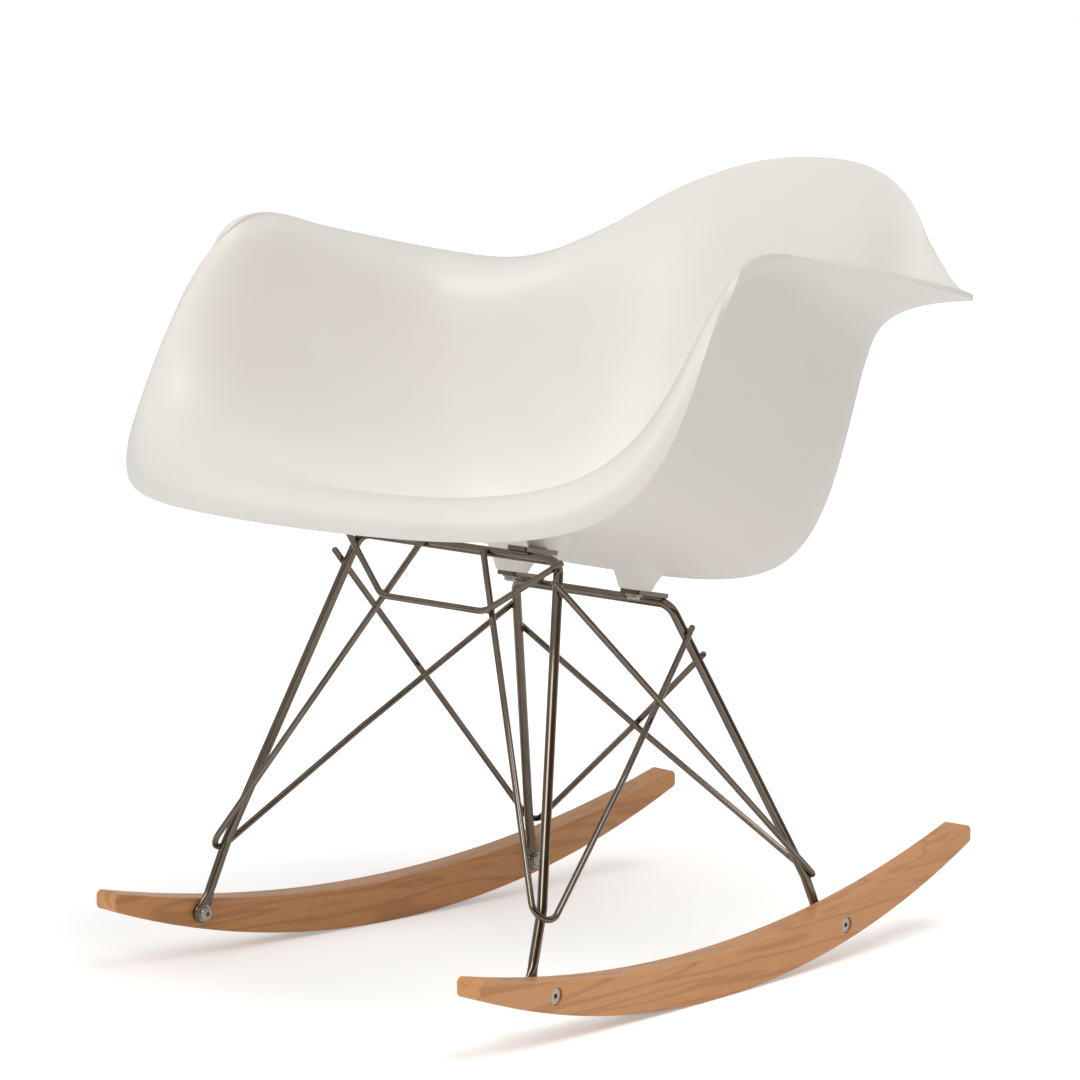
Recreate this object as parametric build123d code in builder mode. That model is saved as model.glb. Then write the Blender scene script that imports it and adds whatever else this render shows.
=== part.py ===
"""Rocking armchair: a one-piece moulded shell on a welded steel rod base with two wooden rockers.

Millimetres, +Z up. The sitter faces -Y and +X is the sitter's left. The middle plane is x = 0.
Everything is designed with the level bars level and the rockers' soles lowest at y = 0. Each piece
is then rolled to the pose in which the empty chair balances, and slid so that the origin lies on
the floor, z = 0, under the middle of the whole chair.
"""

import os

from build123d import *

os.makedirs("parts", exist_ok=True)

# ---------------------------------------------------------------- driving dimensions
SHELL_WALL = 5.0

ROD = 8.5  # round bar of the two leg frames
WIRE = 5.5  # round bar of the crossbar and the struts
WELD = 0.05  # how deep welded pieces sink into each other

ROCKER_LENGTH = 686.0
ROCKER_WIDTH = 26.5
ROCKER_DEPTH = 38.3  # height of the rocker's side at the floor contact
ROCKER_SOLE_R = 926.0  # arc that rolls on the floor
ROCKER_TOP_R = 1360.0
ROCKER_SPREAD = 207.0  # middle plane to the rocker's outer face, at y = 0
ROCKER_TOE = 0.054  # how fast the two rockers close towards the back
ROCKER_END_R = 5.0
ROCKER_EDGE_R = 2.0
REST_ROLL = 2.1  # degrees that the empty chair rolls forward to balance
REST_SHIFT = -21.5

FRONT_BAR = (-129.0, 374.0)  # y and z of the front frame's level bar
FRONT_BAR_END = 115.0
FRONT_KNEE = Vector(184.2, -227.5, 110)
FRONT_BOLT = (-250.0, 49.3)  # along the rocker, and height
REAR_BAR = (39.5, 313.0)
REAR_BAR_END = 90.0
REAR_KNEE = Vector(163.5, 134.5, 68)
REAR_BOLT = (150.0, 26.6)
BAR_BEND_R = 14.0
KNEE_BEND_R = 40.0

EYE_D = 18.0  # flattened foot of a leg
EYE_THICK = 5.0
EYE_NECK = 24.0  # from the eye's middle up to where the bar is round
BOLT_D = 6.0
BOLT_CLEARANCE_D = 6.6
BOLT_HEAD_D = 12.0
BOLT_HEAD_H = 3.6
WASHER_THICK = 1.4
NUT_HEAD_D = 13.0
NUT_HEAD_H = 2.6
NUT_BARREL_D = 9.0
NUT_BARREL_L = 13.0
COUNTERBORE_D = 14.5
COUNTERBORE_DEPTH = 4.2

PLATE = (22.0, 42.0, 4.0)
PLATE_X = 72.0
PLATE_LEAN = 12.0  # degrees that the plates lean back, with the seat
SCREW_OFFSET = {"front": 29.0, "rear": -27.0}  # from the level bar to the shell screw
PLATE_OVERHANG = 7.0  # from the level bar's middle to the plate's near end
BOSS_FOOT_D = 28.0  # across a boss at the plate
BOSS_ROOT_D = 50.0  # across a boss where it grows out of the shell
INSERT_D = 11.0
INSERT_L = 8.0
WASHER_D = 15.0
SCREW_D = 6.0
SCREW_HEAD_D = 11.5
SCREW_HEAD_H = 3.4
SCREW_SOCKET = 4.0
NUT_SOCKET_DEPTH = 3.5

# The struts, given on the sitter's left. A front strut runs from the front bar, down and outwards
# round the front leg's foot, and up behind it to the rear leg. A rear strut runs from the front
# leg down to the rear leg's foot, and up to the other rear leg.
CROSSBAR_TOP = Vector(124.5, -135.2, 375)
CROSSBAR_BEND = Vector(60.0, -160.2, 330)
CROSSBAR_BEND_R = 22.0
FRONT_STRUT_TOP = Vector(34.5, -134.9, 378)
FRONT_STRUT_FOOT = Vector(202.6, -252.0, 83)
FRONT_STRUT_KINK = Vector(154.0, -93.0, 192)
FRONT_STRUT_END = Vector(102.6, 55.0, 292.5)
FRONT_HAIRPIN_R = 13.0
KINK_R = 60.0
REAR_STRUT_TOP = Vector(127.0, -149.0, 361)
REAR_STRUT_FOOT = Vector(171.0, 147.9, 60)
REAR_STRUT_CROSSING = {"left": Vector(0, 93.7, 187.7), "right": Vector(0, 99.6, 187.7)}
REAR_STRUT_END = Vector(-107.5, 64.4, 268)
REAR_HAIRPIN_R = 8.0
REAR_BOW_R = 400.0  # the two rear struts bow a little to pass each other

# ---------------------------------------------------------------- shell lines
# Half sections of the shell, from the front lip to the top of the back. Each runs from the middle
# plane, over the seat and up the side, to the outer edge of the arm. They are the control points
# of one smooth surface, the one the sitter touches.
SECTIONS = [
    # front lip: lower edge, nose and crest
    [(0, -347, 419), (100, -340, 419), (188, -316, 419), (268, -266, 426),
     (302, -215, 468), (304, -170, 555), (297, -136, 605), (289, -110, 627)],
    [(0, -356, 434), (98, -349, 434), (182, -324, 435), (258, -276, 444),
     (292, -227, 482), (296, -176, 562), (286, -121, 619), (291, -84, 637)],
    [(0, -330, 452), (94, -324, 452), (174, -302, 455), (242, -256, 466),
     (272, -204, 502), (281, -150, 575), (280, -104, 626), (297, -58, 636)],
    # seat
    [(0, -255, 438), (90, -250, 438), (165, -236, 441), (226, -204, 456),
     (254, -160, 500), (269, -113, 575), (277, -70, 629), (304, -26, 631)],
    [(0, -150, 414), (88, -148, 414), (160, -138, 417), (220, -118, 432),
     (248, -86, 484), (265, -48, 560), (278, -12, 618), (313, 12, 620)],
    [(0, -40, 370), (86, -38, 370), (157, -30, 374), (214, -12, 394),
     (239, 12, 452), (255, 41, 538), (269, 59, 598), (316, 73, 607)],
    [(0, 60, 332), (84, 62, 332), (152, 68, 338), (202, 77, 365),
     (228, 91, 430), (244, 104, 515), (259, 111, 580), (316, 127, 595)],
    [(0, 146, 321), (80, 144, 323), (138, 139, 336), (175, 129, 375),
     (200, 126, 434), (216, 128, 507), (233, 132, 569), (307, 169, 586)],
    # back
    [(0, 214, 374), (74, 208, 379), (123, 197, 394), (156, 179, 430),
     (181, 167, 478), (198, 162, 530), (219, 166, 575), (289, 205, 578)],
    [(0, 252, 464), (68, 247, 467), (116, 234, 477), (149, 217, 500),
     (173, 203, 532), (191, 197, 562), (213, 201, 580), (261, 230, 575)],
    [(0, 284, 548), (60, 280, 549), (105, 271, 554), (138, 257, 566),
     (166, 243, 580), (188, 236, 588), (207, 237, 590), (229, 250, 584)],
    [(0, 318, 625), (52, 316, 623), (94, 310, 620), (127, 294, 616),
     (153, 282, 614), (172, 274, 610), (188, 270, 606), (199, 273, 600)],
    [(0, 356, 675), (42, 354, 673), (80, 343, 666), (110, 331, 655),
     (134, 316, 644), (152, 305, 633), (165, 295, 623), (176, 288, 612)],
]
SPAN_STEPS = 3  # points worked out on each span of the surface


def spline_points(controls):
    """Points along the even cubic spline of a row of control points, from its first to its last."""
    before = controls[0] * 2 - controls[1]
    after = controls[-1] * 2 - controls[-2]
    row = [before, *controls, after]
    points = []
    for span in range(len(row) - 3):
        a, b, c, d = row[span : span + 4]
        for step in range(SPAN_STEPS):
            t = step / SPAN_STEPS
            points.append(
                a * ((1 - t) ** 3 / 6)
                + b * ((3 * t**3 - 6 * t**2 + 4) / 6)
                + c * ((-3 * t**3 + 3 * t**2 + 3 * t + 1) / 6)
                + d * (t**3 / 6)
            )
    points.append(controls[-1])
    return points


def shell_surface():
    """The side of the shell that the sitter touches, as one face."""
    rows = []
    for half in SECTIONS:
        left = [Vector(*point) for point in half]
        right = [Vector(-point.X, point.Y, point.Z) for point in left[:0:-1]]
        rows.append(spline_points(right + left))
    columns = [spline_points(list(column)) for column in zip(*rows)]
    grid = [list(row) for row in zip(*columns)]
    return Face.make_surface_from_array_of_points(grid, tol=0.02, min_deg=3, max_deg=5)


ROLL_CENTRE = Pos(0, 0, ROCKER_SOLE_R)
AT_REST = Pos(0, REST_SHIFT, 0) * ROLL_CENTRE * Rot(REST_ROLL, 0, 0) * ROLL_CENTRE.inverse()


def export(part, node):
    """Put a finished piece in its place at rest, label it and write its STEP file."""
    piece = part.moved(AT_REST)
    piece.label = node
    export_step(piece, f"parts/{node}.step")


SIDES = {"left": 1, "right": -1}
BAR = {"front": FRONT_BAR, "rear": REAR_BAR}
CORNERS = [(end, side) for end in BAR for side in SIDES]


def placed(point, side):
    """A point given for the sitter's left, on the chosen side."""
    return (point.X * SIDES[side], point.Y, point.Z)


# ---------------------------------------------------------------- seat shell
seat_face = shell_surface()


def pad(end, side, height):
    """Leaning plane square to one shell screw, at a height over the plate's underside."""
    bar_middle = (PLATE_X * SIDES[side], *BAR[end])
    lean = Plane(bar_middle, x_dir=(1, 0, 0), z_dir=Vector(0, 0, 1).rotate(Axis.X, -PLATE_LEAN))
    spot = lean.from_local_coords((0, SCREW_OFFSET[end], ROD / 2 - WELD + height))
    return Plane(spot, x_dir=lean.x_dir, z_dir=lean.z_dir)


def wall_middle(foot):
    """Plane in the middle of the seat's wall, where the axis of a boss meets it."""
    hits = seat_face.find_intersection_points(Axis(foot.origin, foot.z_dir))
    point, normal = min(hits, key=lambda hit: (hit[0] - foot.origin).length)
    if normal.dot(foot.z_dir) < 0:
        normal = normal * -1
    return Plane(point - normal * (SHELL_WALL / 2), x_dir=(1, 0, 0), z_dir=normal)


with BuildPart() as seat_shell:
    thicken(seat_face, amount=SHELL_WALL)
    for end, side in CORNERS:
        foot = pad(end, side, PLATE[2])
        with BuildSketch(foot):
            Circle(BOSS_FOOT_D / 2)
        with BuildSketch(wall_middle(foot)):
            Circle(BOSS_ROOT_D / 2)
        loft()
        with BuildSketch(foot):
            Circle(INSERT_D / 2)
        extrude(amount=INSERT_L, mode=Mode.SUBTRACT)
export(seat_shell.part, "seat_shell")


# ---------------------------------------------------------------- mounting plates and shell fixings
for end, side in CORNERS:
    corner = f"{end}_{side}"
    with BuildPart() as mount_plate:
        bar_side = -1 if SCREW_OFFSET[end] > 0 else 1
        middle = -SCREW_OFFSET[end] + bar_side * (PLATE_OVERHANG - PLATE[1] / 2)
        with BuildSketch(pad(end, side, 0)):
            with Locations((0, middle)):
                RectangleRounded(PLATE[0], PLATE[1], 3)
            Circle(SCREW_D / 2 + 0.3, mode=Mode.SUBTRACT)
        extrude(amount=PLATE[2])
    export(mount_plate.part, f"mount_plate_{corner}")

    with BuildPart() as shell_insert:
        with BuildSketch(pad(end, side, PLATE[2])):
            Circle(INSERT_D / 2)
            Circle(SCREW_D / 2, mode=Mode.SUBTRACT)
        extrude(amount=INSERT_L)
    export(shell_insert.part, f"shell_insert_{corner}")

    with BuildPart() as shell_washer:
        with BuildSketch(pad(end, side, 0)):
            Circle(WASHER_D / 2)
            Circle(SCREW_D / 2 + 0.2, mode=Mode.SUBTRACT)
        extrude(amount=-WASHER_THICK)
    export(shell_washer.part, f"shell_washer_{corner}")

    head_plane = pad(end, side, -WASHER_THICK)
    with BuildPart() as shell_screw:
        with BuildSketch(head_plane):
            Circle(SCREW_D / 2)
        extrude(amount=WASHER_THICK + PLATE[2] + INSERT_L - 1)
        with BuildSketch(head_plane):
            Circle(SCREW_HEAD_D / 2)
        extrude(amount=-SCREW_HEAD_H)
        low_rim = shell_screw.edges().filter_by(GeomType.CIRCLE).sort_by(Axis.Z)[0]
        fillet(low_rim, SCREW_HEAD_H * 0.5)
        with BuildSketch(pad(end, side, -WASHER_THICK - SCREW_HEAD_H)):
            RegularPolygon(SCREW_SOCKET / 2, 6, major_radius=False)
        extrude(amount=SCREW_HEAD_H * 0.65, mode=Mode.SUBTRACT)
    export(shell_screw.part, f"shell_screw_{corner}")


# ---------------------------------------------------------------- rockers
def rocker_plane(side, depth=0.0):
    """Upright plane on a rocker's outer face, or that far inwards. Local x runs to the back."""
    hand = SIDES[side]
    along = Vector(-ROCKER_TOE * hand, 1, 0).normalized()
    outwards = Vector(hand, ROCKER_TOE, 0).normalized()
    origin = Vector(hand * ROCKER_SPREAD, 0, 0) - outwards * depth
    if hand > 0:
        return Plane(origin, x_dir=along, z_dir=outwards)
    return Plane(origin, x_dir=along, z_dir=-outwards)


def sole(reach):
    """Height of the rocker's lower side at a distance along it."""
    return ROCKER_SOLE_R - (ROCKER_SOLE_R**2 - reach**2) ** 0.5


def top(reach):
    """Height of the rocker's upper side at a distance along it."""
    return ROCKER_DEPTH + ROCKER_TOP_R - (ROCKER_TOP_R**2 - reach**2) ** 0.5


def stage(side, bolt, depth):
    """Plane square to one rocker bolt, at a depth inwards from the rocker's outer face."""
    level = rocker_plane(side, depth)
    return Plane(level.from_local_coords((*bolt, 0)), x_dir=level.x_dir, z_dir=level.z_dir)


BOLTS = {"front": FRONT_BOLT, "rear": REAR_BOLT}
half = ROCKER_LENGTH / 2
EYE_DEPTH = ROCKER_WIDTH + EYE_THICK
INWARD = {side: -SIDES[side] for side in SIDES}

for side in SIDES:
    inward = INWARD[side]
    with BuildPart() as rocker:
        with BuildSketch(rocker_plane(side)):
            with BuildLine():
                ThreePointArc((-half, sole(half)), (0, 0), (half, sole(half)))
                Line((half, sole(half)), (half, top(half)))
                ThreePointArc((half, top(half)), (0, ROCKER_DEPTH), (-half, top(half)))
                Line((-half, top(half)), (-half, sole(half)))
            make_face()
            fillet(vertices(), ROCKER_END_R)
        extrude(amount=inward * ROCKER_WIDTH)
        faces_flat = rocker.faces().filter_by(GeomType.PLANE).sort_by(SortBy.AREA)[-2:]
        fillet(faces_flat.edges(), ROCKER_EDGE_R)
        for bolt in BOLTS.values():
            with BuildSketch(stage(side, bolt, 0)):
                Circle(COUNTERBORE_D / 2)
            extrude(amount=inward * COUNTERBORE_DEPTH, mode=Mode.SUBTRACT)
            with BuildSketch(stage(side, bolt, COUNTERBORE_DEPTH)):
                Circle(NUT_BARREL_D / 2)
            extrude(amount=inward * NUT_BARREL_L, mode=Mode.SUBTRACT)
            with BuildSketch(stage(side, bolt, 0)):
                Circle(BOLT_CLEARANCE_D / 2)
            extrude(amount=inward * ROCKER_WIDTH, mode=Mode.SUBTRACT)
    export(rocker.part, f"rocker_{side}")

    for end, bolt in BOLTS.items():
        corner = f"{end}_{side}"
        with BuildPart() as rocker_nut:
            with BuildSketch(stage(side, bolt, COUNTERBORE_DEPTH - NUT_HEAD_H)):
                Circle(NUT_HEAD_D / 2)
            extrude(amount=inward * NUT_HEAD_H)
            with BuildSketch(stage(side, bolt, COUNTERBORE_DEPTH)):
                Circle(NUT_BARREL_D / 2)
            extrude(amount=inward * NUT_BARREL_L)
            with BuildSketch(stage(side, bolt, COUNTERBORE_DEPTH - NUT_HEAD_H)):
                RegularPolygon(SCREW_SOCKET / 2, 6, major_radius=False)
            extrude(amount=inward * NUT_SOCKET_DEPTH, mode=Mode.SUBTRACT)
            with BuildSketch(stage(side, bolt, COUNTERBORE_DEPTH + NUT_BARREL_L)):
                Circle(BOLT_D / 2)
            extrude(amount=-inward * NUT_BARREL_L * 0.75, mode=Mode.SUBTRACT)
        export(rocker_nut.part, f"rocker_nut_{corner}")

        with BuildPart() as rocker_washer:
            with BuildSketch(stage(side, bolt, EYE_DEPTH)):
                Circle(WASHER_D / 2)
                Circle(BOLT_CLEARANCE_D / 2, mode=Mode.SUBTRACT)
            extrude(amount=inward * WASHER_THICK)
        export(rocker_washer.part, f"rocker_washer_{corner}")

        head_depth = EYE_DEPTH + WASHER_THICK
        bolt_tip = COUNTERBORE_DEPTH + NUT_BARREL_L * 0.35
        with BuildPart() as rocker_bolt:
            with BuildSketch(stage(side, bolt, head_depth)):
                Circle(BOLT_D / 2)
            extrude(amount=-inward * (head_depth - bolt_tip))
            with BuildSketch(stage(side, bolt, head_depth)):
                Circle(BOLT_HEAD_D / 2)
            extrude(amount=inward * BOLT_HEAD_H)
            crown = rocker_bolt.faces().sort_by(Axis.X)[0 if inward < 0 else -1]
            fillet(crown.edges(), BOLT_HEAD_H * 0.5)
            with BuildSketch(stage(side, bolt, head_depth + BOLT_HEAD_H)):
                RegularPolygon(SCREW_SOCKET / 2, 6, major_radius=False)
            extrude(amount=-inward * BOLT_HEAD_H * 0.6, mode=Mode.SUBTRACT)
        export(rocker_bolt.part, f"rocker_bolt_{corner}")


# ---------------------------------------------------------------- leg frames
def rod(points, radii, diameter):
    """A bent round bar along straight runs joined by arcs."""
    with BuildPart() as bar:
        with BuildLine() as path:
            FilletPolyline(*points, radius=radii)
        with BuildSketch(Plane(path.line @ 0, z_dir=path.line % 0)):
            Circle(diameter / 2)
        sweep()
    return bar.part


def eye_centre(side, bolt):
    """Middle of the flattened foot that is bolted to a rocker."""
    return stage(side, bolt, ROCKER_WIDTH + EYE_THICK / 2).origin


FRAMES = {
    "front": (FRONT_BAR_END, FRONT_KNEE),
    "rear": (REAR_BAR_END, REAR_KNEE),
}
for end, (bar_end, knee) in FRAMES.items():
    eye = eye_centre("left", BOLTS[end])
    shank = (knee - eye).normalized()
    ankle = eye + shank * EYE_NECK
    half_path = [ankle, knee, Vector(bar_end, *BAR[end])]
    left_path = [placed(point, "left") for point in half_path]
    right_path = [placed(point, "right") for point in reversed(half_path)]
    bends = [KNEE_BEND_R, BAR_BEND_R, BAR_BEND_R, KNEE_BEND_R]
    bent_bar = rod(left_path + right_path, bends, ROD)
    with BuildPart() as leg_frame:
        add(bent_bar)
        for side in SIDES:
            inward = INWARD[side]
            neck = Vector(*placed(shank, side))
            low = Vector(*placed(eye + shank * (EYE_D * 0.3), side))
            across = stage(side, BOLTS[end], 0).x_dir
            with BuildSketch(Plane(Vector(*placed(ankle, side)), x_dir=across, z_dir=neck)):
                Ellipse(ROD / 2, ROD / 2)
            with BuildSketch(Plane(low, x_dir=across, z_dir=neck)):
                Ellipse(EYE_D * 0.45, EYE_THICK / 2)
            loft()
            with BuildSketch(stage(side, BOLTS[end], ROCKER_WIDTH)):
                Circle(EYE_D / 2)
            extrude(amount=inward * EYE_THICK)
            with BuildSketch(stage(side, BOLTS[end], ROCKER_WIDTH)):
                Circle(BOLT_CLEARANCE_D / 2)
            extrude(amount=inward * EYE_THICK, mode=Mode.SUBTRACT)
            with BuildSketch(stage(side, BOLTS[end], EYE_DEPTH)):
                Circle(WASHER_D / 2 + 0.5)
            extrude(amount=inward * EYE_THICK, mode=Mode.SUBTRACT)
            with BuildSketch(stage(side, BOLTS[end], ROCKER_WIDTH)):
                Circle(EYE_D)
            extrude(amount=-inward * EYE_THICK, mode=Mode.SUBTRACT)
    export(leg_frame.part, f"{end}_leg_frame")

# ---------------------------------------------------------------- crossbar and struts
drop = [CROSSBAR_TOP, CROSSBAR_BEND]
crossbar_path = [placed(point, "left") for point in drop]
crossbar_path += [placed(point, "right") for point in reversed(drop)]
crossbar_bar = rod(crossbar_path, CROSSBAR_BEND_R, WIRE)
with BuildPart() as front_crossbar:
    add(crossbar_bar)
export(front_crossbar.part, "front_crossbar")

FRONT_STRUT = [FRONT_STRUT_TOP, FRONT_STRUT_FOOT, FRONT_STRUT_KINK, FRONT_STRUT_END]
for side in SIDES:
    front_path = [placed(point, side) for point in FRONT_STRUT]
    front_bar = rod(front_path, [FRONT_HAIRPIN_R, KINK_R], WIRE)
    with BuildPart() as front_strut:
        add(front_bar)
    export(front_strut.part, f"front_strut_{side}")

    rear_points = [REAR_STRUT_TOP, REAR_STRUT_FOOT, REAR_STRUT_CROSSING[side], REAR_STRUT_END]
    rear_path = [placed(point, side) for point in rear_points]
    rear_bar = rod(rear_path, [REAR_HAIRPIN_R, REAR_BOW_R], WIRE)
    with BuildPart() as rear_strut:
        add(rear_bar)
    export(rear_strut.part, f"rear_strut_{side}")
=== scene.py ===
from math import cos, pi, radians, sin, sqrt, tan

import bmesh
import bpy
from mathutils import Matrix, Vector
from mathutils.geometry import intersect_line_line


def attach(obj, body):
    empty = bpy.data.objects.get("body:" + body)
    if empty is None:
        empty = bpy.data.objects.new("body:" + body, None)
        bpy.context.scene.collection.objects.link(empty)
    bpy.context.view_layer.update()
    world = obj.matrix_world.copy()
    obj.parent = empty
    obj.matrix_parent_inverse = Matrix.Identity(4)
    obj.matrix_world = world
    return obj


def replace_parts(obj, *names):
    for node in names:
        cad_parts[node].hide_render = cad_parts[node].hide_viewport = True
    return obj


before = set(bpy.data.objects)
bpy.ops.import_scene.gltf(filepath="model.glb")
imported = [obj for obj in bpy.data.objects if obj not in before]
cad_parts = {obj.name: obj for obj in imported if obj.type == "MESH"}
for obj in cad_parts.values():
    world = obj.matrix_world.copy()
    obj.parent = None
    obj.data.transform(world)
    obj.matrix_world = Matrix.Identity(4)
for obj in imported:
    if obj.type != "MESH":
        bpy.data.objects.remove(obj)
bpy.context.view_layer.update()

# ---------------------------------------------------------------- seat shell
# One wall of injection-moulded polypropylene, 5 mm thick: seat, arms and back together, with its
# rim rolled outwards. Four moulded bosses under the seat hold the threaded inserts. The chair is
# drawn in millimetres, and then rolled a little forward on its rockers, as the CAD chair is.
MM = 0.001
SOLE_R = 926.0  # arc of the rockers' lower side
REST_ROLL = 2.1  # degrees forward
REST_SHIFT = -21.5  # puts the chair's box over the origin
AT_REST = (
    Matrix.Scale(MM, 4)
    @ Matrix.Translation((0, REST_SHIFT, SOLE_R))
    @ Matrix.Rotation(radians(REST_ROLL), 4, "X")
    @ Matrix.Translation((0, 0, -SOLE_R))
)
SHELL_WALL = 5.0
RIM_ROUND = 1.7
RIM_ANGLE = radians(50)  # only the rim's edges are sharper than this
# half sections from the front lip to the top of the back, each from the middle out to the rim
SECTIONS = [
    # front lip: lower edge, nose and crest
    [(0, -347, 419), (100, -340, 419), (188, -316, 419), (268, -266, 426),
     (302, -215, 468), (304, -170, 555), (297, -136, 605), (289, -110, 627)],
    [(0, -356, 434), (98, -349, 434), (182, -324, 435), (258, -276, 444),
     (292, -227, 482), (296, -176, 562), (286, -121, 619), (291, -84, 637)],
    [(0, -330, 452), (94, -324, 452), (174, -302, 455), (242, -256, 466),
     (272, -204, 502), (281, -150, 575), (280, -104, 626), (297, -58, 636)],
    # seat
    [(0, -255, 438), (90, -250, 438), (165, -236, 441), (226, -204, 456),
     (254, -160, 500), (269, -113, 575), (277, -70, 629), (304, -26, 631)],
    [(0, -150, 414), (88, -148, 414), (160, -138, 417), (220, -118, 432),
     (248, -86, 484), (265, -48, 560), (278, -12, 618), (313, 12, 620)],
    [(0, -40, 370), (86, -38, 370), (157, -30, 374), (214, -12, 394),
     (239, 12, 452), (255, 41, 538), (269, 59, 598), (316, 73, 607)],
    [(0, 60, 332), (84, 62, 332), (152, 68, 338), (202, 77, 365),
     (228, 91, 430), (244, 104, 515), (259, 111, 580), (316, 127, 595)],
    [(0, 146, 321), (80, 144, 323), (138, 139, 336), (175, 129, 375),
     (200, 126, 434), (216, 128, 507), (233, 132, 569), (307, 169, 586)],
    # back
    [(0, 214, 374), (74, 208, 379), (123, 197, 394), (156, 179, 430),
     (181, 167, 478), (198, 162, 530), (219, 166, 575), (289, 205, 578)],
    [(0, 252, 464), (68, 247, 467), (116, 234, 477), (149, 217, 500),
     (173, 203, 532), (191, 197, 562), (213, 201, 580), (261, 230, 575)],
    [(0, 284, 548), (60, 280, 549), (105, 271, 554), (138, 257, 566),
     (166, 243, 580), (188, 236, 588), (207, 237, 590), (229, 250, 584)],
    [(0, 318, 625), (52, 316, 623), (94, 310, 620), (127, 294, 616),
     (153, 282, 614), (172, 274, 610), (188, 270, 606), (199, 273, 600)],
    [(0, 356, 675), (42, 354, 673), (80, 343, 666), (110, 331, 655),
     (134, 316, 644), (152, 305, 633), (165, 295, 623), (176, 288, 612)],
]


def to_linear(hex_colour):
    """An sRGB hex colour as the linear colour a shader takes."""
    channels = [int(hex_colour[i : i + 2], 16) / 255 for i in (1, 3, 5)]
    return [c / 12.92 if c <= 0.04045 else ((c + 0.055) / 1.055) ** 2.4 for c in channels] + [1.0]


def add_node(material, kind, settings=None, **links):
    """Add a shader node with its settings, and link sockets to its inputs by name."""
    node = material.node_tree.nodes.new(kind)
    for name, value in (settings or {}).items():
        if name in node.inputs:
            node.inputs[name].default_value = value
        else:
            setattr(node, name, value)
    for name, source in links.items():
        material.node_tree.links.new(source, node.inputs[name.replace("_", " ")])
    return node


def new_material(name):
    """An empty node material and its output node."""
    material = bpy.data.materials.new(name)
    material.use_nodes = True
    material.node_tree.nodes.clear()
    return material, add_node(material, "ShaderNodeOutputMaterial")


def make_piece(bm, name, material):
    """Turn a drawn mesh into a finished, smooth-shaded piece in its place at rest."""
    bmesh.ops.transform(bm, matrix=AT_REST, verts=bm.verts)
    mesh = bpy.data.meshes.new(name)
    bm.to_mesh(mesh)
    bm.free()
    mesh.shade_smooth()
    mesh.materials.append(material)
    piece = bpy.data.objects.new(name, mesh)
    bpy.context.scene.collection.objects.link(piece)
    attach(piece, "root")
    return piece


def moulded_polypropylene():
    """Warm white polypropylene from a finely etched mould: satin, with a grain that only shows in
    glancing light, and a very faint unevenness of tone."""
    material, output = new_material("moulded polypropylene, satin white")
    place = add_node(material, "ShaderNodeTexCoord").outputs["Object"]
    cloud = add_node(material, "ShaderNodeTexNoise", {"Scale": 9, "Detail": 3}, Vector=place)
    # the mould's etch is 0.3 mm, drawn at 0.8 mm so that it shows
    etch = add_node(material, "ShaderNodeTexNoise", {"Scale": 1250, "Detail": 2}, Vector=place)
    tone = add_node(material, "ShaderNodeMix", {"data_type": "RGBA"}, Factor=cloud.outputs["Fac"])
    tone.inputs[6].default_value = to_linear("#efede8")
    tone.inputs[7].default_value = to_linear("#f5f4ef")
    gloss = add_node(
        material,
        "ShaderNodeMapRange",
        {"From Min": 0.3, "From Max": 0.7, "To Min": 0.34, "To Max": 0.46},
        Value=etch.outputs["Fac"],
    )
    bump = add_node(
        material,
        "ShaderNodeBump",
        {"Strength": 0.16, "Distance": 0.0002},
        Height=etch.outputs["Fac"],
    )
    shader = add_node(
        material,
        "ShaderNodeBsdfPrincipled",
        {"IOR": 1.49, "Specular IOR Level": 0.45},
        Base_Color=tone.outputs[2],
        Roughness=gloss.outputs[0],
        Normal=bump.outputs[0],
    )
    material.node_tree.links.new(shader.outputs[0], output.inputs["Surface"])
    return material


shell_plastic = moulded_polypropylene()

shell_bm = bmesh.new()
columns = 2 * len(SECTIONS[0]) - 2
rows = len(SECTIONS) - 1
bmesh.ops.create_grid(shell_bm, x_segments=columns, y_segments=rows, size=1)
for corner in shell_bm.verts:
    column = round((corner.co.x + 1) / 2 * columns) - columns // 2
    row = round((corner.co.y + 1) / 2 * rows)
    x, y, z = SECTIONS[row][abs(column)]
    corner.co = (x if column > 0 else -x, y, z)
seat_middle = min(shell_bm.faces, key=lambda face: face.calc_center_median().length)
shell_bm.normal_update()
if seat_middle.normal.z < 0:
    bmesh.ops.reverse_faces(shell_bm, faces=shell_bm.faces)
seat_shell = make_piece(shell_bm, "shell_moulding", shell_plastic)
smooth = seat_shell.modifiers.new("even curve", "SUBSURF")
smooth.levels = smooth.render_levels = 3
wall = seat_shell.modifiers.new("wall", "SOLIDIFY")
wall.thickness = SHELL_WALL * MM
wall.offset = -1
wall.use_even_offset = True
rim = seat_shell.modifiers.new("rim", "BEVEL")
rim.width = RIM_ROUND * MM
rim.segments = 3
rim.limit_method = "ANGLE"
rim.angle_limit = RIM_ANGLE
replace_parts(seat_shell, "seat_shell")

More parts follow.
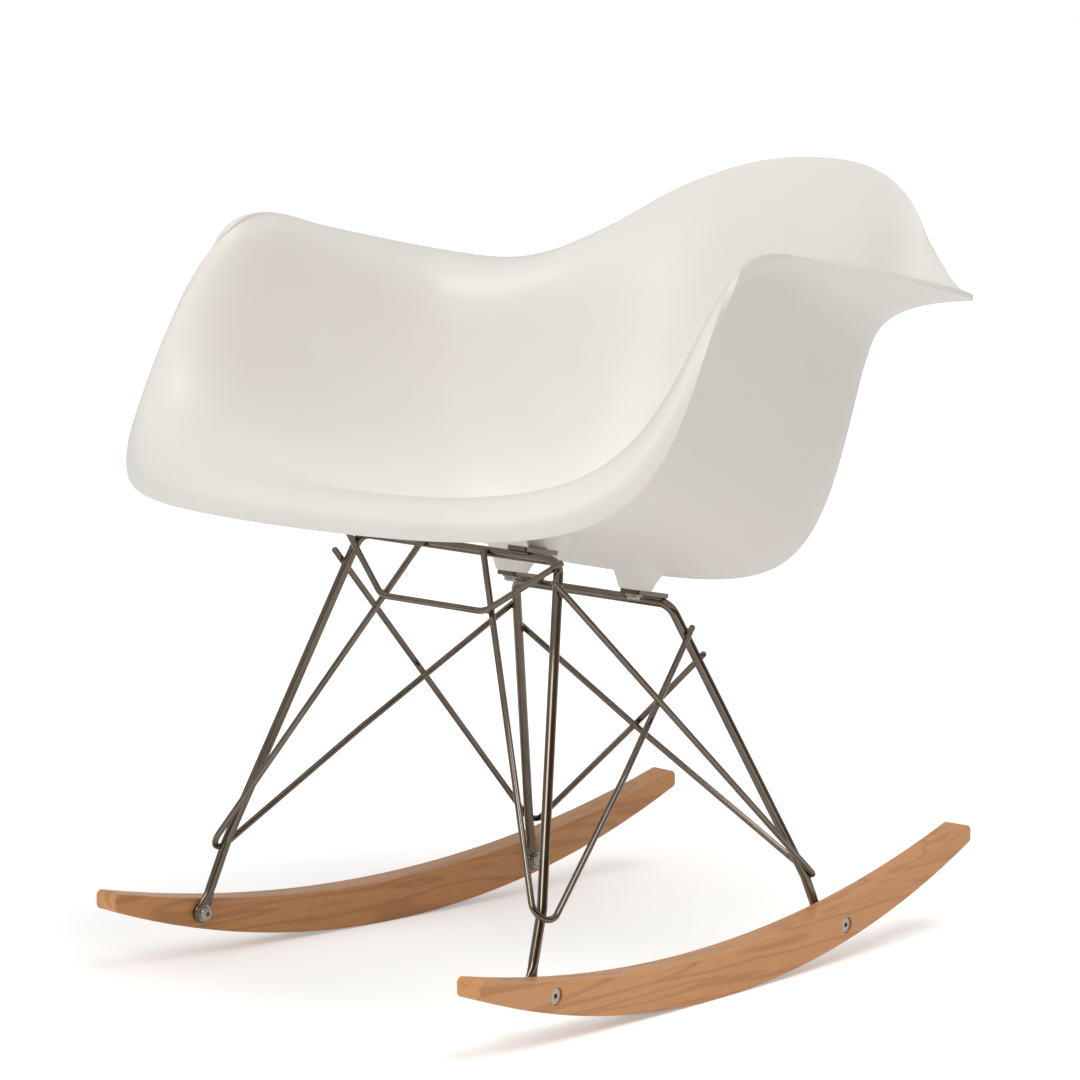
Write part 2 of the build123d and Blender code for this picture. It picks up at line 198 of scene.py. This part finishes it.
ROD = 8.5  # round bar of the two leg frames
FRONT_BAR = (-129.0, 374.0)  # y and z of the front frame's level bar
REAR_BAR = (39.5, 313.0)
WELD = 0.05  # how far the plates are sunk into the level bars
PLATE_THICK = 4.0
PLATE_X = 72.0
PLATE_LEAN = radians(12)  # the plates lean back, with the seat
PAD_UP = Vector((0, sin(PLATE_LEAN), cos(PLATE_LEAN)))
PAD_BACK = Vector((0, cos(PLATE_LEAN), -sin(PLATE_LEAN)))
SCREW_OFFSETS = [(FRONT_BAR, 29.0), (REAR_BAR, -27.0)]  # from a level bar to the shell screw
BOSS_FOOT_R = 14.0
BOSS_EASE = 0.8  # the foot's edge is eased by this much
BOSS_TAPER = 8.5  # how much wider a boss is where it meets the shell
BOSS_FILLET = 5.0  # how far it spreads where it runs into the shell
BOSS_SINK = 0.6  # how far its top is sunk into the shell
BOSS_SIDES = 48
BOSS_CLIMB = (0.0, 0.04, 0.2, 0.4, 0.58, 0.72, 0.83, 0.91, 0.97, 1.0)  # its rings, foot to top
BOSS_PAST_SHELL = 12.0  # its rise where no shell is above it
INSERT_HOLE_R = 5.5

bosses_bm = bmesh.new()
bpy.context.view_layer.update()
to_drawing = AT_REST.inverted()
up_ray = (AT_REST.to_3x3() @ PAD_UP).normalized()
for hand in (1, -1):
    for level_bar, offset in SCREW_OFFSETS:
        centre = Vector((PLATE_X * hand, *level_bar)) + PAD_BACK * offset
        centre += PAD_UP * (ROD / 2 - WELD + PLATE_THICK)
        lean = Matrix.Translation(centre) @ Matrix.Rotation(-PLATE_LEAN, 4, "X")
        foot = bmesh.ops.create_circle(
            bosses_bm, segments=BOSS_SIDES, radius=INSERT_HOLE_R, matrix=lean
        )["verts"]
        edges = list({edge for corner in foot for edge in corner.link_edges})
        hole_edges = edges
        for climb in BOSS_CLIMB:
            ring = bmesh.ops.extrude_edge_only(bosses_bm, edges=edges)["geom"]
            corners = [part for part in ring if isinstance(part, bmesh.types.BMVert)]
            swelling = BOSS_TAPER * climb + BOSS_FILLET * (1 - sqrt(1 - climb**5))
            radius = BOSS_FOOT_R + swelling - (BOSS_EASE if climb == 0 else 0)
            for corner in corners:
                outwards = corner.co - centre
                outwards -= PAD_UP * outwards.dot(PAD_UP)
                spot = centre + outwards.normalized() * radius
                hit, under_side, _, _ = seat_shell.ray_cast(AT_REST @ spot, up_ray)
                rise = BOSS_PAST_SHELL
                if hit:
                    rise = (to_drawing @ under_side - spot).length + BOSS_SINK
                corner.co = spot + PAD_UP * rise * climb
            edges = [part for part in ring if isinstance(part, bmesh.types.BMEdge)]
            edges = [edge for edge in edges if all(corner in corners for corner in edge.verts)]
        bmesh.ops.edgeloop_fill(bosses_bm, edges=edges)
        bmesh.ops.edgeloop_fill(bosses_bm, edges=hole_edges)
bmesh.ops.recalc_face_normals(bosses_bm, faces=bosses_bm.faces)
shell_bosses = make_piece(bosses_bm, "shell_bosses", shell_plastic)
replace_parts(shell_bosses, "seat_shell")

# ---------------------------------------------------------------- leg frames
# Two frames of 8.5 mm steel bar, cold-bent to a level top and two splayed legs. Each leg ends in a
# hammered flat eye for the rocker bolt. Nickel-chrome plated after welding, a smoky bright metal.
FRONT_BAR_END = 115.0
FRONT_KNEE = (184.2, -227.5, 110.0)
FRONT_BOLT = (-250.0, 49.3)  # along the rocker, and height
REAR_BAR_END = 90.0
REAR_KNEE = (163.5, 134.5, 68.0)
REAR_BOLT = (150.0, 26.6)
BAR_BEND_R = 14.0
KNEE_BEND_R = 40.0
BEND_FACET = radians(7)  # turn between two rings of a bend
ROD_SIDES = 24
EYE_D = 18.0
EYE_THICK = 5.0
EYE_HOLE = 6.6
EYE_NECK = 24.0  # the leg is hammered flat over this length
EYE_EASE = 0.9  # rounding of the eye's rim
HOLE_EASE = 0.4
EYE_SIDES = 40
ROCKER_SPREAD = 207.0  # from the middle to a rocker's outer face
ROCKER_TOE = 0.054  # how much the rockers close towards the back
ROCKER_WIDTH = 26.5


def smoky_chrome():
    """Nickel-chrome plating on drawn steel rod: mirror-like, a warm smoky grey, with faint draw
    lines and slightly duller patches."""
    material, output = new_material("nickel-chrome plated steel, smoky")
    place = add_node(material, "ShaderNodeTexCoord").outputs["Object"]
    # patches of about 20 mm
    patch = add_node(material, "ShaderNodeTexNoise", {"Scale": 45, "Detail": 4}, Vector=place)
    tone = add_node(material, "ShaderNodeMix", {"data_type": "RGBA"}, Factor=patch.outputs["Fac"])
    tone.inputs[6].default_value = to_linear("#6f665c")
    tone.inputs[7].default_value = to_linear("#8e857a")
    gloss = add_node(
        material,
        "ShaderNodeMapRange",
        {"From Min": 0.3, "From Max": 0.7, "To Min": 0.09, "To Max": 0.22},
        Value=patch.outputs["Fac"],
    )
    # draw marks are about 0.1 mm, drawn at 0.5 mm so that they show
    marks = add_node(material, "ShaderNodeTexNoise", {"Scale": 2000, "Detail": 1}, Vector=place)
    bump = add_node(
        material,
        "ShaderNodeBump",
        {"Strength": 0.05, "Distance": 0.0001},
        Height=marks.outputs["Fac"],
    )
    shader = add_node(
        material,
        "ShaderNodeBsdfPrincipled",
        {"Metallic": 1.0},
        Base_Color=tone.outputs[2],
        Roughness=gloss.outputs[0],
        Normal=bump.outputs[0],
    )
    material.node_tree.links.new(shader.outputs[0], output.inputs["Surface"])
    return material


rod_chrome = smoky_chrome()


def loop_of(geometry):
    """The vertices of an open ring, and the edges that join them."""
    corners = [part for part in geometry if isinstance(part, bmesh.types.BMVert)]
    inside = set(corners)
    edges = [part for part in geometry if isinstance(part, bmesh.types.BMEdge)]
    return corners, [edge for edge in edges if inside.issuperset(edge.verts)]


def bend_bar(bm, points, radii, diameter):
    """Bend a round bar through the points, with the given corner radii. Gives its two end rings
    and the centre line that it follows."""
    points = [Vector(point) for point in points]
    here = points[0]
    line = [here]
    heading = (points[1] - here).normalized()
    facing = Vector((0, 0, 1)).rotation_difference(heading).to_matrix().to_4x4()
    ring = bmesh.ops.create_circle(
        bm, segments=ROD_SIDES, radius=diameter / 2, matrix=Matrix.Translation(here) @ facing
    )["verts"]
    edges = list({edge for corner in ring for edge in corner.link_edges})
    first = (list(ring), list(edges))
    for step, corner in enumerate(points[1:]):
        is_end = step == len(points) - 2
        if is_end:
            there = corner
        else:
            next_heading = (points[step + 2] - corner).normalized()
            bend = heading.angle(next_heading)
            there = corner - heading * radii[step] * tan(bend / 2)
        ring, edges = loop_of(bmesh.ops.extrude_edge_only(bm, edges=edges)["geom"])
        bmesh.ops.translate(bm, vec=there - here, verts=ring)
        here = there
        line.append(here)
        if not is_end:
            axis = heading.cross(next_heading).normalized()
            centre = here + axis.cross(heading) * radii[step]
            steps = max(3, round(bend / BEND_FACET))
            spun = bmesh.ops.spin(
                bm,
                geom=ring + edges,
                cent=centre,
                axis=axis,
                dvec=(0, 0, 0),
                angle=bend,
                steps=steps,
                use_merge=False,
                use_duplicate=False,
            )
            ring, edges = loop_of(spun["geom_last"])
            arm = here - centre
            for share in range(1, steps + 1):
                line.append(centre + Matrix.Rotation(bend * share / steps, 3, axis) @ arm)
            here = line[-1]
            heading = next_heading
    return first, (ring, edges), line


def rocker_place(hand, along, height, depth):
    """A point on a rocker: along it, at a height, and at a depth inwards from its outer face."""
    forwards = Vector((-ROCKER_TOE * hand, 1, 0)).normalized()
    outwards = Vector((hand, ROCKER_TOE, 0)).normalized()
    return Vector((hand * ROCKER_SPREAD, 0, height)) + forwards * along - outwards * depth


def flatten_foot(bm, ring_edges, ankle, eye, hand):
    """Hammer the end of a leg flat and finish it with a round eye against the rocker."""
    shank = (ankle - eye).normalized()
    across = Vector((-ROCKER_TOE * hand, 1, 0)).normalized()
    thin = shank.cross(across).normalized()
    ring, edges = ring_edges
    low = eye + shank * EYE_D * 0.3
    spread, pinch = 1.0, 1.0
    here = ankle
    for part_way in (0.2, 0.4, 0.6, 0.8, 1.0):
        ease = part_way * part_way * (3 - 2 * part_way)
        wide = 1 + (EYE_D * 0.92 / ROD - 1) * ease
        slim = 1 + (EYE_THICK * 0.94 / ROD - 1) * ease
        ring, edges = loop_of(bmesh.ops.extrude_edge_only(bm, edges=edges)["geom"])
        there = ankle.lerp(low, part_way)
        for corner in ring:
            offset = corner.co - here
            sideways = across * offset.dot(across) * (wide / spread)
            corner.co = there + sideways + thin * offset.dot(thin) * (slim / pinch)
        here, spread, pinch = there, wide, slim
    bmesh.ops.edgeloop_fill(bm, edges=edges)
    # the eye: a flat ring round the bolt, its edges eased
    outwards = Vector((hand, ROCKER_TOE, 0)).normalized()
    facing = Vector((0, 0, 1)).rotation_difference(outwards).to_matrix().to_4x4()
    half = EYE_THICK / 2
    profile = [
        (EYE_HOLE / 2, -half + HOLE_EASE),
        (EYE_HOLE / 2 + HOLE_EASE, -half),
        (EYE_D / 2 - EYE_EASE, -half),
        (EYE_D / 2, -half + EYE_EASE),
        (EYE_D / 2, half - EYE_EASE),
        (EYE_D / 2 - EYE_EASE, half),
        (EYE_HOLE / 2 + HOLE_EASE, half),
        (EYE_HOLE / 2, half - HOLE_EASE),
    ]
    place = Matrix.Translation(eye) @ facing
    corners = [bm.verts.new(place @ Vector((radius, 0, level))) for radius, level in profile]
    outline = [bm.edges.new((corners[i - 1], corners[i])) for i in range(len(corners))]
    bmesh.ops.spin(
        bm,
        geom=corners + outline,
        cent=eye,
        axis=outwards,
        dvec=(0, 0, 0),
        angle=2 * pi,
        steps=EYE_SIDES,
        use_merge=True,
        use_duplicate=False,
    )


FRAMES = {
    "front": (FRONT_BAR, FRONT_BAR_END, FRONT_KNEE, FRONT_BOLT),
    "rear": (REAR_BAR, REAR_BAR_END, REAR_KNEE, REAR_BOLT),
}
bars = []  # every bar's centre line and diameter, for the welds
for end, (level_bar, bar_end, knee, bolt) in FRAMES.items():
    eye = rocker_place(1, *bolt, ROCKER_WIDTH + EYE_THICK / 2)
    knee = Vector(knee)
    ankle = eye + (knee - eye).normalized() * EYE_NECK
    half_path = [ankle, knee, Vector((bar_end, *level_bar))]
    mirror = Matrix.Scale(-1, 3, (1, 0, 0))
    path = half_path + [mirror @ point for point in reversed(half_path)]
    frame_bm = bmesh.new()
    bends = [KNEE_BEND_R, BAR_BEND_R, BAR_BEND_R, KNEE_BEND_R]
    *ends, centre_line = bend_bar(frame_bm, path, bends, ROD)
    for hand, ring_edges in zip((1, -1), ends):
        side = Matrix.Identity(3) if hand > 0 else mirror
        flatten_foot(frame_bm, ring_edges, side @ ankle, side @ eye, hand)
    bmesh.ops.remove_doubles(frame_bm, verts=frame_bm.verts, dist=0.001)
    bmesh.ops.recalc_face_normals(frame_bm, faces=frame_bm.faces)
    leg_frame = make_piece(frame_bm, f"{end}_legs", rod_chrome)
    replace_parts(leg_frame, f"{end}_leg_frame")
    bars.append((centre_line, ROD))

# ---------------------------------------------------------------- crossbar and struts
# Thinner 5.5 mm bars, bent cold and welded on: one shallow V under the front bar, two front struts
# that turn tightly at the front feet, and two rear struts that turn at the rear feet and cross.
WIRE = 5.5
WIRE_EASE = 0.7  # rounding of the cut ends
CROSSBAR_TOP = (124.5, -135.2, 375.0)
CROSSBAR_BEND = (60.0, -160.2, 330.0)
CROSSBAR_R = 22.0
FRONT_STRUT = [
    (34.5, -134.9, 378.0),
    (202.6, -252.0, 83.0),
    (154.0, -93.0, 192.0),
    (102.6, 55.0, 292.5),
]
FRONT_STRUT_RADII = [13.0, 60.0]
REAR_STRUT_TOP = (127.0, -149.0, 361.0)
REAR_STRUT_TURN = (171.0, 147.9, 60.0)
REAR_STRUT_END = (-107.5, 64.4, 268.0)
REAR_STRUT_RADII = [8.0, 400.0]
CROSSINGS = {1: (0.0, 93.7, 187.7), -1: (0.0, 99.6, 187.7)}  # one rear strut passes behind
SIDE_NAMES = {1: "left", -1: "right"}
crossbar_path = [CROSSBAR_TOP, CROSSBAR_BEND]
crossbar_path += [(-x, y, z) for x, y, z in reversed(crossbar_path)]
wires = {"crossbar_bar": (crossbar_path, [CROSSBAR_R, CROSSBAR_R], "front_crossbar")}
for hand, side in SIDE_NAMES.items():
    front_path = [(x * hand, y, z) for x, y, z in FRONT_STRUT]
    wires[f"front_brace_{side}"] = (front_path, FRONT_STRUT_RADII, f"front_strut_{side}")
    rear_strut = [REAR_STRUT_TOP, REAR_STRUT_TURN, CROSSINGS[hand], REAR_STRUT_END]
    rear_path = [(x * hand, y, z) for x, y, z in rear_strut]
    wires[f"rear_brace_{side}"] = (rear_path, REAR_STRUT_RADII, f"rear_strut_{side}")
for name, (path, radii, cad_node) in wires.items():
    wire_bm = bmesh.new()
    *ends, centre_line = bend_bar(wire_bm, path, radii, WIRE)
    for ring, edges in ends:
        bmesh.ops.edgeloop_fill(wire_bm, edges=edges)
        bmesh.ops.bevel(
            wire_bm,
            geom=edges,
            offset=WIRE_EASE,
            offset_type="OFFSET",
            segments=2,
            profile=0.5,
            affect="EDGES",
            material=-1,
        )
    bmesh.ops.recalc_face_normals(wire_bm, faces=wire_bm.faces)
    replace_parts(make_piece(wire_bm, name, rod_chrome), cad_node)
    bars.append((centre_line, WIRE))

# ---------------------------------------------------------------- welds
# Small beads of weld metal, plated over, wherever two bars touch, and a run of weld along each
# side of the level bars under the four plates.
BEAD = (3.6, 2.3, 1.5)  # half its length along the bars, its width, and its depth between them
TOUCH = 0.4  # bars with a smaller gap than this are welded
BEADS_APART = 12
PLATE_WELD = 8.5  # half the length of a run of weld under a plate
RIPPLE = 3.4  # spacing of the ripples in a run
RIPPLE_BEAD = (2.4, 1.7, 1.5)
RUN_DROP = 1.2  # the run lies this far below the plate, beside the bar
RUN_SIDE = 3.1


def add_bead(bm, place, along, through, half_sizes):
    """One oval bead of weld metal, long in one direction and sunk between the bars in another."""
    side = through.cross(along).normalized()
    turned = Matrix((along.normalized(), side, along.cross(side).normalized())).transposed()
    shape = turned @ Matrix.Diagonal(half_sizes)
    shape = Matrix.Translation(place) @ shape.to_4x4()
    bmesh.ops.create_uvsphere(bm, u_segments=16, v_segments=10, radius=1, matrix=shape)


welds_bm = bmesh.new()
beads = []
for i, (line_a, thick_a) in enumerate(bars):
    for line_b, thick_b in bars[i + 1 :]:
        touches = []
        for a, b in zip(line_a, line_a[1:]):
            for c, d in zip(line_b, line_b[1:]):
                near = intersect_line_line(a, b, c, d)
                if near is None:
                    continue
                share_a = (near[0] - a).dot(b - a) / (b - a).length_squared
                share_b = (near[1] - c).dot(d - c) / (d - c).length_squared
                share_a, share_b = min(max(share_a, 0), 1), min(max(share_b, 0), 1)
                spot_a, spot_b = a.lerp(b, share_a), c.lerp(d, share_b)
                gap = (spot_a - spot_b).length - (thick_a + thick_b) / 2
                if gap < TOUCH:
                    touches.append((gap, spot_a, spot_b, b - a, d - c))
        for gap, spot_a, spot_b, run_a, run_b in sorted(touches, key=lambda touch: touch[0]):
            through = spot_b - spot_a
            middle = spot_a + through.normalized() * thick_a / 2
            if all((middle - bead).length > BEADS_APART for bead in beads):
                beads.append(middle)
                if run_a.dot(run_b) < 0:
                    run_b = -run_b
                along = run_a.normalized() + run_b.normalized()
                along -= through.normalized() * along.dot(through.normalized())
                add_bead(welds_bm, middle, along, through, BEAD)
for hand in (1, -1):
    for level_bar in (FRONT_BAR, REAR_BAR):
        for edge in (1, -1):
            for step in range(round(2 * PLATE_WELD / RIPPLE) + 1):
                x = PLATE_X * hand - PLATE_WELD + step * RIPPLE
                spot = Vector((x, *level_bar)) + PAD_UP * (ROD / 2 - RUN_DROP)
                spot += PAD_BACK * edge * RUN_SIDE
                add_bead(welds_bm, spot, Vector((1, 0, 0)), PAD_UP, RIPPLE_BEAD)
make_piece(welds_bm, "weld_beads", rod_chrome)

# ---------------------------------------------------------------- plates and shell fixings
# Four pressed steel plates, plated with the frames, and under each a zinc-plated socket screw and
# washer that go up into a turned brass insert in the shell's boss.


def zinc_plate():
    """Bright zinc on turned steel: pale grey, a soft mirror, with faint patches of tone and gloss.
    """
    material, output = new_material("zinc-plated turned steel")
    place = add_node(material, "ShaderNodeTexCoord").outputs["Object"]
    patch = add_node(material, "ShaderNodeTexNoise", {"Scale": 260, "Detail": 3}, Vector=place)
    tone = add_node(material, "ShaderNodeMix", {"data_type": "RGBA"}, Factor=patch.outputs["Fac"])
    tone.inputs[6].default_value = to_linear("#a9a69f")
    tone.inputs[7].default_value = to_linear("#cbc8c2")
    gloss = add_node(
        material,
        "ShaderNodeMapRange",
        {"From Min": 0.3, "From Max": 0.7, "To Min": 0.22, "To Max": 0.4},
        Value=patch.outputs["Fac"],
    )
    shader = add_node(
        material,
        "ShaderNodeBsdfPrincipled",
        {"Metallic": 1.0},
        Base_Color=tone.outputs[2],
        Roughness=gloss.outputs[0],
    )
    material.node_tree.links.new(shader.outputs[0], output.inputs["Surface"])
    return material


def turned_brass():
    """Turned brass, a little dulled: warm yellow with darker spots."""
    material, output = new_material("turned brass")
    place = add_node(material, "ShaderNodeTexCoord").outputs["Object"]
    spots = add_node(material, "ShaderNodeTexNoise", {"Scale": 400, "Detail": 3}, Vector=place)
    tone = add_node(material, "ShaderNodeMix", {"data_type": "RGBA"}, Factor=spots.outputs["Fac"])
    tone.inputs[6].default_value = to_linear("#a07a35")
    tone.inputs[7].default_value = to_linear("#cfae62")
    shader = add_node(
        material,
        "ShaderNodeBsdfPrincipled",
        {"Metallic": 1.0, "Roughness": 0.32},
        Base_Color=tone.outputs[2],
    )
    material.node_tree.links.new(shader.outputs[0], output.inputs["Surface"])
    return material


fastener_steel = zinc_plate()
insert_brass = turned_brass()


def finish_node(node, material):
    """Give a CAD piece its real finish."""
    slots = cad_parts[node].data.materials
    slots.clear()
    slots.append(material)


CORNERS = [f"{end}_{side}" for end in FRAMES for side in SIDE_NAMES.values()]
for corner in CORNERS:
    finish_node(f"mount_plate_{corner}", rod_chrome)
    finish_node(f"shell_insert_{corner}", insert_brass)
    finish_node(f"shell_washer_{corner}", fastener_steel)
    finish_node(f"shell_screw_{corner}", fastener_steel)

# ---------------------------------------------------------------- rockers
# Two runners sawn from solid maple, with eased edges, sanded and given a clear satin lacquer. Each
# is held by two bolts from the inside, into barrel nuts sunk in its outer face.


def lacquered_maple():
    """Maple sawn along the grain, under satin lacquer: warm tan with long darker growth lines that
    the cut crosses, short fine pores, and slow changes of tone."""
    material, output = new_material("solid maple, satin lacquer")
    place = add_node(material, "ShaderNodeTexCoord").outputs["Object"]
    # growth lines run along the runner, so the pattern is stretched twenty times that way
    lengthways = add_node(
        material,
        "ShaderNodeMapping",
        {"Scale": (1, 0.05, 1), "Rotation": (0.02, 0, 0)},
        Vector=place,
    )
    along = lengthways.outputs["Vector"]
    figure = add_node(
        material,
        "ShaderNodeTexNoise",
        {"Scale": 34, "Detail": 2, "Distortion": 0.3},
        Vector=along,
    )
    # growth lines 2 to 5 mm apart
    rings = add_node(material, "ShaderNodeMath", {"operation": "MULTIPLY"})
    rings.inputs[1].default_value = 42
    material.node_tree.links.new(figure.outputs["Fac"], rings.inputs[0])
    wave = add_node(material, "ShaderNodeMath", {"operation": "SINE"})
    material.node_tree.links.new(rings.outputs[0], wave.inputs[0])
    line = add_node(
        material,
        "ShaderNodeMapRange",
        {"From Min": 0.35, "From Max": 1.0, "To Min": 0.0, "To Max": 0.4},
        Value=wave.outputs[0],
    )
    # pores are about 0.1 mm across, drawn at 1 mm and stretched along the grain so that they show
    fibre_place = add_node(material, "ShaderNodeMapping", {"Scale": (1, 0.03, 1)}, Vector=place)
    fibre = add_node(
        material,
        "ShaderNodeTexNoise",
        {"Scale": 900, "Detail": 3},
        Vector=fibre_place.outputs["Vector"],
    )
    slow = add_node(material, "ShaderNodeTexNoise", {"Scale": 14, "Detail": 2}, Vector=along)
    base = add_node(material, "ShaderNodeMix", {"data_type": "RGBA"}, Factor=slow.outputs["Fac"])
    base.inputs[6].default_value = to_linear("#cf8c50")
    base.inputs[7].default_value = to_linear("#e3a76a")
    grained = add_node(material, "ShaderNodeMix", {"data_type": "RGBA"}, Factor=line.outputs[0])
    material.node_tree.links.new(base.outputs[2], grained.inputs[6])
    grained.inputs[7].default_value = to_linear("#a56630")
    fine = add_node(
        material,
        "ShaderNodeMapRange",
        {"From Min": 0.35, "From Max": 0.75, "To Min": 0.0, "To Max": 0.28},
        Value=fibre.outputs["Fac"],
    )
    coloured = add_node(material, "ShaderNodeMix", {"data_type": "RGBA"}, Factor=fine.outputs[0])
    material.node_tree.links.new(grained.outputs[2], coloured.inputs[6])
    coloured.inputs[7].default_value = to_linear("#b2763e")
    gloss = add_node(
        material,
        "ShaderNodeMapRange",
        {"From Min": 0.3, "From Max": 0.7, "To Min": 0.36, "To Max": 0.5},
        Value=fibre.outputs["Fac"],
    )
    bump = add_node(
        material,
        "ShaderNodeBump",
        {"Strength": 0.12, "Distance": 0.0002},
        Height=fibre.outputs["Fac"],
    )
    shader = add_node(
        material,
        "ShaderNodeBsdfPrincipled",
        {"IOR": 1.5, "Coat Weight": 0.5, "Coat Roughness": 0.25},
        Base_Color=coloured.outputs[2],
        Roughness=gloss.outputs[0],
        Normal=bump.outputs[0],
    )
    material.node_tree.links.new(shader.outputs[0], output.inputs["Surface"])
    return material


rocker_maple = lacquered_maple()
for side in SIDE_NAMES.values():
    finish_node(f"rocker_{side}", rocker_maple)
for corner in CORNERS:
    finish_node(f"rocker_nut_{corner}", fastener_steel)
    finish_node(f"rocker_washer_{corner}", fastener_steel)
    finish_node(f"rocker_bolt_{corner}", fastener_steel)

# ---------------------------------------------------------------- floor, light and camera
# A plain white floor that runs on to the horizon, a white room whose wall on the right is darker
# and warm in its lower part, and broad soft daylight from the front and from a roof light.
FLOOR_HALF = 60
DAYLIGHT = [("front window", 0.9, (0.2, -0.9, 0.75)), ("roof light", 1.0, (0.38, 0.05, 1.0))]
WINDOW_ANGLE = radians(32)  # how broad each light looks, for soft shadows
AZIMUTH = 42.39
ELEVATION = 9.19
TILT = -0.29
DISTANCE = 3623.8
TARGET = (0.0, -13.7, 370.44)
SENSOR = 36
LENS = 140.3433


def pale_floor():
    """Matt white paint."""
    material, output = new_material("matt white floor")
    shader = add_node(
        material,
        "ShaderNodeBsdfPrincipled",
        {"Base Color": to_linear("#fbfbfb"), "Roughness": 0.9, "Specular IOR Level": 0.1},
    )
    shader.inputs["Emission Color"].default_value = to_linear("#ffffff")
    # the floor looks a little brighter than it lights the chair, so it stays white in the shade
    seen = add_node(material, "ShaderNodeLightPath").outputs["Is Camera Ray"]
    lift = add_node(material, "ShaderNodeMapRange", {"To Max": 0.35}, Value=seen)
    material.node_tree.links.new(lift.outputs[0], shader.inputs["Emission Strength"])
    material.node_tree.links.new(shader.outputs[0], output.inputs["Surface"])
    return material


floor_bm = bmesh.new()
bmesh.ops.create_grid(floor_bm, x_segments=2, y_segments=2, size=FLOOR_HALF)
floor_mesh = bpy.data.meshes.new("floor")
floor_bm.to_mesh(floor_mesh)
floor_bm.free()
floor_mesh.materials.append(pale_floor())
floor = bpy.data.objects.new("floor", floor_mesh)
bpy.context.scene.collection.objects.link(floor)

room = bpy.data.worlds.new("pale room")
room.use_nodes = True
room_tree = room.node_tree
look = room_tree.nodes.new("ShaderNodeTexCoord")
to_wall = room_tree.nodes.new("ShaderNodeVectorMath")
to_wall.operation = "DOT_PRODUCT"
to_wall.inputs[1].default_value = (0.95, -0.2, -0.45)  # towards the low warm wall on the right
fade = room_tree.nodes.new("ShaderNodeMapRange")
fade.interpolation_type = "SMOOTHSTEP"
fade.inputs["From Min"].default_value = 0.15
fade.inputs["From Max"].default_value = 0.7
walls = room_tree.nodes.new("ShaderNodeMix")
walls.data_type = "RGBA"
walls.inputs[6].default_value = to_linear("#ffffff")
walls.inputs[7].default_value = to_linear("#a07650")
room_tree.links.new(look.outputs["Generated"], to_wall.inputs[0])
room_tree.links.new(to_wall.outputs["Value"], fade.inputs["Value"])
room_tree.links.new(fade.outputs[0], walls.inputs[0])
room_tree.links.new(walls.outputs[2], room_tree.nodes["Background"].inputs["Color"])
room_tree.nodes["Background"].inputs["Strength"].default_value = 0.44
# seen directly, the room is plain white
backdrop = room_tree.nodes.new("ShaderNodeBackground")
backdrop.inputs["Color"].default_value = to_linear("#ffffff")
seen = room_tree.nodes.new("ShaderNodeLightPath")
plain = room_tree.nodes.new("ShaderNodeMixShader")
room_tree.links.new(seen.outputs["Is Camera Ray"], plain.inputs[0])
room_tree.links.new(room_tree.nodes["Background"].outputs[0], plain.inputs[1])
room_tree.links.new(backdrop.outputs[0], plain.inputs[2])
room_tree.links.new(plain.outputs[0], room_tree.nodes["World Output"].inputs["Surface"])
bpy.context.scene.world = room

for name, energy, towards in DAYLIGHT:
    sun = bpy.data.lights.new(name, "SUN")
    sun.energy = energy
    sun.angle = WINDOW_ANGLE
    sun.color = to_linear("#fffdfa")[:3]
    window = bpy.data.objects.new(name, sun)
    window.matrix_world = Vector(towards).to_track_quat("Z", "Y").to_matrix().to_4x4()
    bpy.context.scene.collection.objects.link(window)

lens = bpy.data.cameras.new("camera")
lens.sensor_width = SENSOR
lens.lens = LENS
lens.shift_x = -0.0093
lens.shift_y = -0.0052
camera = bpy.data.objects.new("camera", lens)
swing = (
    Matrix.Rotation(radians(AZIMUTH), 4, "Z")
    @ Matrix.Rotation(radians(90 - ELEVATION), 4, "X")
    @ Matrix.Rotation(radians(TILT), 4, "Z")
)
stand = Matrix.Translation(TARGET) @ swing @ Matrix.Translation((0, 0, DISTANCE))
place = AT_REST @ stand
facing = place.to_quaternion().to_matrix().to_4x4()
camera.matrix_world = Matrix.Translation(place.translation) @ facing
bpy.context.scene.collection.objects.link(camera)
bpy.context.scene.camera = camera
bpy.context.scene.view_settings.view_transform = "Standard"
